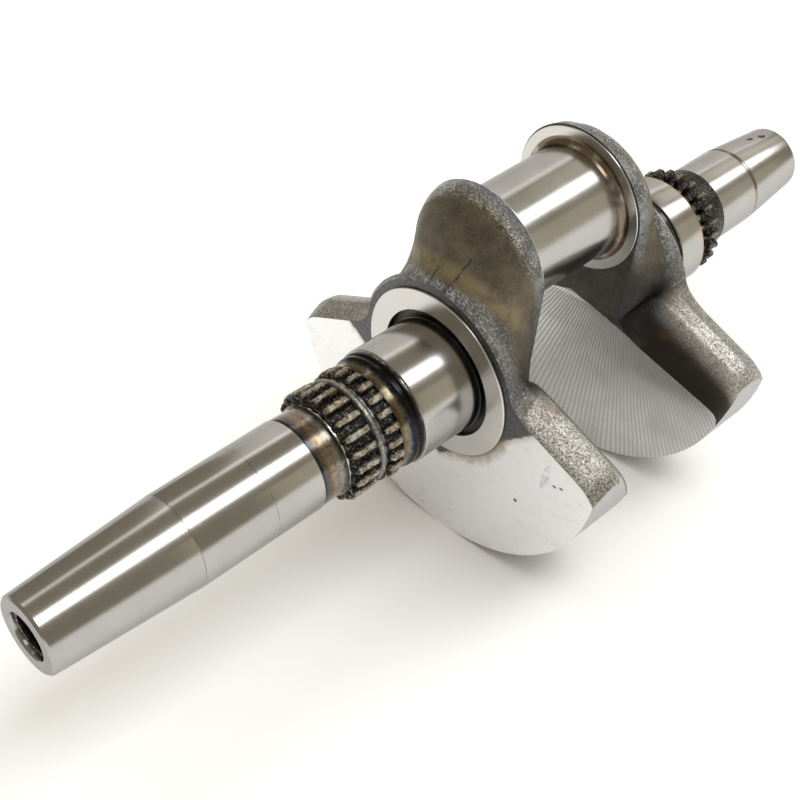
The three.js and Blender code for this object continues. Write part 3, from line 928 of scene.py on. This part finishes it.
def make_cheeks():
    milled = milled_face("milled_inner_face")
    rim = ground_steel("turned_rim", 0.3, tone=(0.58, 0.58, 0.585))
    outer, inner, _ = span("pto_web")
    skin = forged_skin("drive_cheek_skin", inner, outer, 0.72, (0.2, 0.36, 0.14), DRIVE_LAPS)
    face = satin_face("drive_cheek_face", True)
    make_cheek("drive_cheek", "pto", inner, outer, DRIVE_LEAN, 0.0, (skin, face, milled, rim))
    inner, outer, _ = span("mag_web")
    skin = forged_skin("flywheel_cheek_skin", inner, outer, 0.78, (0.2, 0.32, 0.08))
    face = satin_face("flywheel_cheek_face", False)
    make_cheek("flywheel_cheek", "mag", inner, outer, FLYWHEEL_LEAN, FLYWHEEL_CREST,
               (skin, face, milled, rim))


# ---- geometry nodes: toothed rings and thread ---------------------------
def new_group(name, inputs):
    group = bpy.data.node_groups.new(name, "GeometryNodeTree")
    group.interface.new_socket("Geometry", in_out="OUTPUT", socket_type="NodeSocketGeometry")
    for label, kind in inputs:
        group.interface.new_socket(label, in_out="INPUT", socket_type="NodeSocket" + kind)
    t = Tree(group)
    return group, t, t.node("NodeGroupInput")


def end_group(t, geometry, material):
    real = t.node("GeometryNodeRealizeInstances", None, {0: geometry})
    done = t.node("GeometryNodeSetMaterial", None, {"Geometry": real, "Material": material})
    t.node("NodeGroupOutput", None, {0: done})


def vector(t, x, y, z):
    return t.node("ShaderNodeCombineXYZ", None, {0: x, 1: y, 2: z})


BURRS_PER_METRE, BURR = 520, 0.9
TOOTH_SINK = 0.8  # how far the foot of a tooth is sunk into its drum
DRUM_STEPS = 96
TAN_TOPS, DARK_TOPS = (0.56, 0.53, 0.47), (0.17, 0.17, 0.17)


def toothed_ring_tree():
    """Teeth with tapered flanks and bevelled ends round a drum, all about the Y axis."""
    group, t, given = new_group("toothed_ring", [
        ("Teeth", "Int"), ("Root Radius", "Float"), ("Tip Radius", "Float"),
        ("Length", "Float"), ("Land", "Float"), ("Foot", "Float"), ("End Bevel", "Float"),
        ("Phase", "Float"), ("Wear", "Float"), ("Burr", "Float"), ("Middle", "Float"),
        ("Material", "Material"),
    ])
    root, tip, length = given.out("Root Radius"), given.out("Tip Radius"), given.out("Length")
    bevel = given.out("End Bevel")
    block = t.node("GeometryNodeMeshCube", None, {1: 4, 2: 9, 3: 4})
    place = t.node("ShaderNodeSeparateXYZ", None, {0: t.node("GeometryNodeInputPosition")})
    across, along, up = place, place.out("Y"), place.out("Z") + 0.5
    sunk = root - TOOTH_SINK * MM
    end = ((along.abs() * length - length * 0.5 + bevel) / bevel).most(0.0)
    radial = sunk + (tip - sunk - bevel * end * 0.8) * up
    pitch = root * (2 * math.pi) / given.out("Teeth")
    share = given.out("Foot") * (1 - up) + given.out("Land") * up
    wide = pitch * share * (1 - end * 0.22)
    shaped = t.node("GeometryNodeSetPosition", None, {
        "Geometry": block,
        "Position": vector(t, across * wide, along * length, radial)})
    rounder = t.node("GeometryNodeSubdivisionSurface", None,
                     {"Mesh": shaped, "Level": 1, "Edge Crease": 0.7, "Vertex Crease": 0.5})
    seat = t.node("GeometryNodeMeshCircle", {"fill_type": "NONE"},
                  {"Vertices": given.out("Teeth"), "Radius": 0.0})
    turn = t.node("GeometryNodeInputIndex") * (2 * math.pi) / given.out("Teeth")
    angle = turn + given.out("Phase")
    worn = t.node("FunctionNodeRandomValue", {"data_type": "FLOAT"},
                  {2: 0.0, 3: given.out("Wear"), "Seed": 7}, out=1)
    teeth = t.node("GeometryNodeInstanceOnPoints", None, {
        "Points": seat, "Instance": rounder, "Rotation": vector(t, 0.0, angle, 0.0),
        "Scale": vector(t, 1.0, 1.0, 1 - worn)})
    drum = t.node("GeometryNodeMeshCylinder", None,
                  {"Vertices": DRUM_STEPS, "Radius": root, "Depth": length})
    laid = t.node("GeometryNodeTransform", None,
                  {"Geometry": drum, "Rotation": (math.pi / 2, 0, 0)})
    both = t.node("GeometryNodeJoinGeometry")
    for part in (teeth, laid):
        t.tree.links.new(part.socket, both.socket.node.inputs[0])
    whole = t.node("GeometryNodeRealizeInstances", None, {0: both})
    burr = t.node("ShaderNodeTexNoise", None, {"Scale": BURRS_PER_METRE, "Detail": 2.0}, out=1)
    centred = t.node("ShaderNodeVectorMath", {"operation": "SUBTRACT"},
                     {0: burr, 1: (0.5, 0.5, 0.5)})
    push = t.node("ShaderNodeVectorMath", {"operation": "SCALE"},
                  {0: centred, "Scale": given.out("Burr")})
    burred = t.node("GeometryNodeSetPosition", None, {"Geometry": whole, "Offset": push})
    moved = t.node("GeometryNodeTransform", None,
                   {"Geometry": burred, "Translation": vector(t, 0.0, given.out("Middle"), 0.0)})
    end_group(t, moved, given.out("Material"))
    return group


def thread_tree():
    """A three-sided ridge swept along a helix about the Y axis."""
    group, t, given = new_group("bore_thread", [
        ("Turns", "Float"), ("Radius", "Float"), ("Rise", "Float"), ("Ridge", "Float"),
        ("Start", "Float"), ("Material", "Material"),
    ])
    helix = t.node("GeometryNodeCurveSpiral", None, {
        "Resolution": 64, "Rotations": given.out("Turns"), "Start Radius": given.out("Radius"),
        "End Radius": given.out("Radius"), "Height": given.out("Rise")})
    ridge = t.node("GeometryNodeCurvePrimitiveCircle", None,
                   {"Resolution": 3, "Radius": given.out("Ridge")})
    swept = t.node("GeometryNodeCurveToMesh", None,
                   {"Curve": helix, "Profile Curve": ridge, "Fill Caps": True})
    laid = t.node("GeometryNodeTransform", None, {
        "Geometry": swept, "Rotation": (-math.pi / 2, 0, 0),
        "Translation": vector(t, 0.0, given.out("Start"), 0.0)})
    end_group(t, laid, given.out("Material"))
    return group


def grown(name, group, values, surface):
    """A plain mesh object from a geometry node group with these input values."""
    host = bpy.data.objects.new(name, bpy.data.meshes.new(name))
    bpy.context.scene.collection.objects.link(host)
    modifier = host.modifiers.new(name, "NODES")
    modifier.node_group = group
    keys = {item.name: item.identifier for item in group.interface.items_tree
            if item.item_type == "SOCKET" and item.in_out == "INPUT"}
    for label, value in {**values, "Material": surface.material}.items():
        modifier[keys[label]] = value
    graph = bpy.context.evaluated_depsgraph_get()
    mesh = bpy.data.meshes.new_from_object(host.evaluated_get(graph), depsgraph=graph)
    host.modifiers.clear()
    host.data = mesh
    mesh.name = name
    smooth(mesh, 38)
    return host


def make_thread(start, depth):
    values = {"Turns": depth / THREAD_PITCH, "Radius": (BORE + THREAD_DEPTH) * MM,
              "Rise": depth * MM, "Ridge": THREAD_DEPTH * MM, "Start": start * MM}
    steel = gritty_steel("thread_steel", (0.09, 0.075, 0.06), (0.42, 0.4, 0.37))
    finish_piece(grown("drive_end_thread", thread_tree(), values, steel), "ground_steel")


def make_toothed_rings():
    group = toothed_ring_tree()
    # teeth, root radius, tip radius, land and foot as shares of a pitch, bevel, phase, wear
    rings = {
        "drive_timing_sprocket":
            ("pto_timing_sprocket", TAN_TOPS, 21, 16.9, 19.7, 0.4, 0.62, 1.2, 0.1, 0.01),
        "drive_pump_gear":
            ("pto_pump_gear", TAN_TOPS, 23, 17.5, 20.2, 0.42, 0.64, 1.1, 0.2, 0.012),
        "flywheel_timing_sprocket":
            ("mag_timing_sprocket", DARK_TOPS, 23, 17, 20.2, 0.26, 0.6, 1.3, 0.13, 0.008),
    }
    for name, (node, tops, teeth, root, tip, land, foot, bevel, phase, wear) in rings.items():
        y0, y1, _ = span(node)
        ring = grown(name, group, {
            "Teeth": teeth, "Root Radius": root * MM, "Tip Radius": tip * MM,
            "Length": (y1 - y0) * MM, "Land": land, "Foot": foot, "End Bevel": bevel * MM,
            "Phase": math.pi / 2 - phase, "Wear": wear, "Burr": BURR * MM,
            "Middle": (y0 + y1) / 2 * MM,
        }, hardened_steel(name + "_steel", tip, tops))
        finish_piece(ring, "hardened_teeth", node)


# ---- staging ------------------------------------------------------------
CAMERA_AT = Vector((0.292035, -0.462306, 0.331947))
CAMERA_AIM = Vector((-0.04882, -0.15875, -0.0575))
CAMERA_ROLL = math.radians(-2.889)
LENS, SENSOR = 70.01, 36
FLOOR_HALF_WIDTH = 30


def make_camera():
    data = bpy.data.cameras.new("camera")
    data.lens, data.sensor_width = LENS, SENSOR
    camera = bpy.data.objects.new("camera", data)
    bpy.context.scene.collection.objects.link(camera)
    turn = (CAMERA_AIM - CAMERA_AT).to_track_quat("-Z", "Y").to_matrix().to_4x4()
    camera.matrix_world = (Matrix.Translation(CAMERA_AT) @ turn
                           @ Matrix.Rotation(CAMERA_ROLL, 4, "Z"))
    bpy.context.scene.camera = camera


def strip_light(name, angle, reach, width, length, y, radiance, colour=(1, 1, 1), mirrored=True):
    """A long soft box beside the shaft, at an angle about Y that starts at +X, facing the shaft."""
    data = bpy.data.lights.new(name, "AREA")
    data.shape = "RECTANGLE"
    data.size, data.size_y = width, length
    data.energy = radiance * math.pi * width * length
    data.color = colour
    lamp = bpy.data.objects.new(name, data)
    bpy.context.scene.collection.objects.link(lamp)
    toward = Vector((math.cos(math.radians(angle)), 0, math.sin(math.radians(angle))))
    across = toward.cross(Vector((0, 1, 0)))
    lamp.matrix_world = Matrix.Translation(toward * reach + Vector((0, y, 0))) @ Matrix(
        (across, Vector((0, 1, 0)), toward)).transposed().to_4x4()
    lamp.visible_camera = False
    lamp.visible_glossy = mirrored


def make_lights():
    strip_light("key_strip", 65, 1.5, 0.56, 2.8, 0.8, 4.0)
    strip_light("left_panel", 152, 1.6, 1.9, 2.2, 1.55, 0.62)
    strip_light("left_strip", 121, 1.45, 0.22, 2.8, 0.7, 0.98)
    strip_light("far_panel", 98, 1.5, 0.7, 1.6, 1.85, 0.72, (1, 0.96, 0.86))
    strip_light("right_panel", 12, 1.8, 1.5, 2.0, 1.55, 0.3, (1, 0.93, 0.72))
    strip_light("floor_wash", 82, 2.2, 3.6, 3.6, -0.15, 1.28, (0.96, 0.98, 1), mirrored=False)
    world = bpy.data.worlds.new("studio")
    world.use_nodes = True
    world.node_tree.nodes["Background"].inputs["Color"].default_value = (0.34, 0.3, 0.225, 1)
    bpy.context.scene.world = world


def make_floor():
    half, z = FLOOR_HALF_WIDTH, cad_box[0].z
    mesh = bpy.data.meshes.new("floor")
    mesh.from_pydata([(-half, -half, z), (half, -half, z), (half, half, z), (-half, half, z)],
                     [], [(0, 1, 2, 3)])
    paper = Surface("paper", 0.7, 0.0)
    paper.set("Base Color", (0.9, 0.9, 0.895, 1))
    object_from("floor", mesh, paper)


def main():
    make_camera()
    bpy.context.scene.view_settings.view_transform = "Standard"
    make_drive_end()
    face_steel = ground_steel("ring_steel", 0.2, tone=(0.7, 0.69, 0.67))
    make_throw(face_steel, black_recess("recess_scale"))
    make_cheeks()
    make_flywheel_end()
    make_toothed_rings()
    make_lights()
    make_floor()


main()
